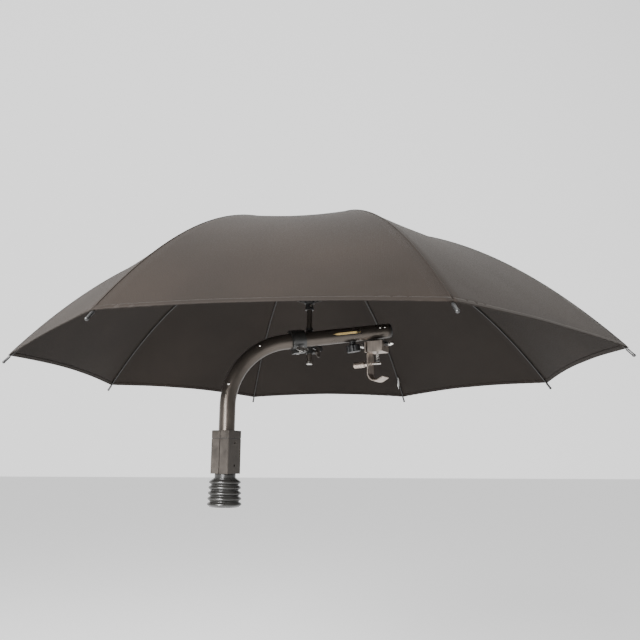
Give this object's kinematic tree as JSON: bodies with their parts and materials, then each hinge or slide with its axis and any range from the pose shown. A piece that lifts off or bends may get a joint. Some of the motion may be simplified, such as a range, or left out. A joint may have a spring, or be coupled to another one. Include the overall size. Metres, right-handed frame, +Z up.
{
  "type": "umbrella swivel bracket",
  "caption": "Swivel bracket clamping an open round-top umbrella to a bent support-arm tube, with a clamp block and bellows at the foot and a latched hook at the tip.",
  "frame": {"origin": "centre of the mast bore at its mouth, on the foot of the mast tube", "axes": "+Z up along the mast, +X along the arm towards the hook, +Y to the side on which the umbrella shaft stands"},
  "size_m": [1.3197, 1.3198, 0.692],
  "materials": {
    "dark_steel": "dull dark steel",
    "rubber": "moulded rubber with a soft sheen",
    "grey_alloy": "dark grey anodised",
    "black_alloy": "black powder coat",
    "black_tube": "glossy black anodised tube",
    "black_steel": "black lacquered wire",
    "black_plastic": "black moulded plastic",
    "bright_steel": "polished steel",
    "satin_steel": "satin stainless steel",
    "canopy_cloth": "tight woven umbrella cloth, dark brown grey"
  },
  "bodies": {
    "mast": {"mast_tube": "dark_steel", "bellows": "rubber", "bellows_collar": "rubber", "block_half_left": "grey_alloy", "block_half_right": "grey_alloy", "block_shim": "black_plastic", "block_top_clamp": "grey_alloy", "block_screws": "bright_steel", "grub_screws": "dark_steel"},
    "arm": {"arm_tube": "black_tube", "end_cap": "black_plastic", "cap_screws": "bright_steel", "arm_rivets": "bright_steel", "knob_boss": "black_plastic", "hook_stud": "bright_steel"},
    "arm_knob": {"arm_knob": "black_plastic", "arm_knob_stud": "bright_steel"},
    "carriage": {"jaw_liner": "rubber"},
    "clamp": {"jaw_rear": "black_alloy", "jaw_front": "black_alloy", "jaw_hinge_pin": "bright_steel", "clamp_nut": "bright_steel", "swivel_arm": "black_alloy"},
    "clamp_screw": {"clamp_bolt": "bright_steel", "clamp_wing": "bright_steel"},
    "socket": {"shaft_socket": "black_alloy", "swivel_rosette": "black_alloy", "swivel_bolt": "bright_steel"},
    "lever": {"swivel_lever": "black_plastic"},
    "socket_lock": {"socket_screw": "bright_steel", "socket_wing": "grey_alloy"},
    "shaft_foot": {"shaft_ferrule": "bright_steel"},
    "umbrella": {"shaft": "black_tube", "crown": "black_plastic", "top_ferrule": "black_plastic", "runner": "black_plastic", "runner_collar": "black_plastic", "canopy": "canopy_cloth", "rib_tips": "black_plastic", "stretchers": "black_steel", "rib_1": "black_steel", "rib_2": "black_steel", "rib_3": "black_steel", "rib_4": "black_steel", "rib_5": "black_steel", "rib_6": "black_steel", "rib_7": "black_steel", "rib_8": "black_steel"},
    "catch": {"runner_catch": "bright_steel"},
    "hook_swivel": {"swivel_cap": "black_plastic", "hook_block": "satin_steel", "hook_axle": "bright_steel", "dome_nuts": "bright_steel", "axle_spacers": "black_plastic"},
    "hook": {"j_hook": "satin_steel", "latch_barrel": "satin_steel"},
    "latch": {"latch_pin": "bright_steel", "latch_knob": "satin_steel"},
    "plunger": {"plunger": "dark_steel", "plunger_spring": "bright_steel"}
  },
  "joints": [
    {"name": "arm_turn", "type": "hinge", "parent": "mast", "child": "arm", "pos_m": [0, 0, 0.16], "axis": [0, 0, 1], "range_deg": [-45, 45]},
    {"name": "arm_knob_turn", "type": "hinge", "parent": "arm", "child": "arm_knob", "pos_m": [0.29165, 0, 0.36298], "axis": [-0.165, 0, 0.9863], "continuous": true},
    {"name": "bracket_slide", "type": "slide", "parent": "arm", "child": "carriage", "axis": [0.9863, 0, 0.165], "range_m": [-0.01, 0.025]},
    {"name": "bracket_roll", "type": "hinge", "parent": "carriage", "child": "clamp", "pos_m": [0.15684, 0, 0.36577], "axis": [0.9863, 0, 0.165], "range_deg": [-15, 15]},
    {"name": "clamp_screw_turn", "type": "hinge", "parent": "clamp", "child": "clamp_screw", "pos_m": [0.16097, 0, 0.34111], "axis": [0, 1, 0], "continuous": true},
    {"name": "swivel_tilt", "type": "hinge", "parent": "clamp", "child": "socket", "pos_m": [0.19304, 0.037, 0.37183], "axis": [0, 1, 0], "range_deg": [-15, 15]},
    {"name": "swivel_lever_turn", "type": "hinge", "parent": "clamp", "child": "lever", "pos_m": [0.19304, 0.05, 0.37183], "axis": [0, 1, 0], "range_deg": [-90, 60]},
    {"name": "socket_lock_turn", "type": "hinge", "parent": "socket", "child": "socket_lock", "pos_m": [0.20804, 0.0276, 0.346], "axis": [1, 0, 0], "continuous": true},
    {"name": "shaft_slide", "type": "slide", "parent": "socket", "child": "shaft_foot", "axis": [0, 0, 1], "range_m": [-0.02, 0.018]},
    {"name": "shaft_spin", "type": "hinge", "parent": "shaft_foot", "child": "umbrella", "pos_m": [0.19304, 0.0276, 0.4], "axis": [0, 0, 1], "continuous": true},
    {"name": "runner_catch_press", "type": "slide", "parent": "umbrella", "child": "catch", "axis": [0, 1, 0], "range_m": [0, 0.0012], "stiffness_N_per_m": 400},
    {"name": "hook_turn", "type": "hinge", "parent": "arm", "child": "hook_swivel", "pos_m": [0.351, 0, 0.376], "axis": [0, 0, 1], "continuous": true},
    {"name": "hook_swing", "type": "hinge", "parent": "hook_swivel", "child": "hook", "pos_m": [0.351, 0, 0.3675], "axis": [0.6691, -0.7431, 0], "range_deg": [-20, 20]},
    {"name": "latch_pull", "type": "slide", "parent": "hook", "child": "latch", "axis": [-0.6691, 0.7431, 0], "range_m": [0, 0.024], "stiffness_N_per_m": 250, "springref_m": -0.006},
    {"name": "plunger_press", "type": "slide", "parent": "hook_swivel", "child": "plunger", "axis": [0, 0, 1], "range_m": [0, 0.008], "stiffness_N_per_m": 400, "springref_m": -0.002, "deforming": ["plunger_spring"]}
  ]
}
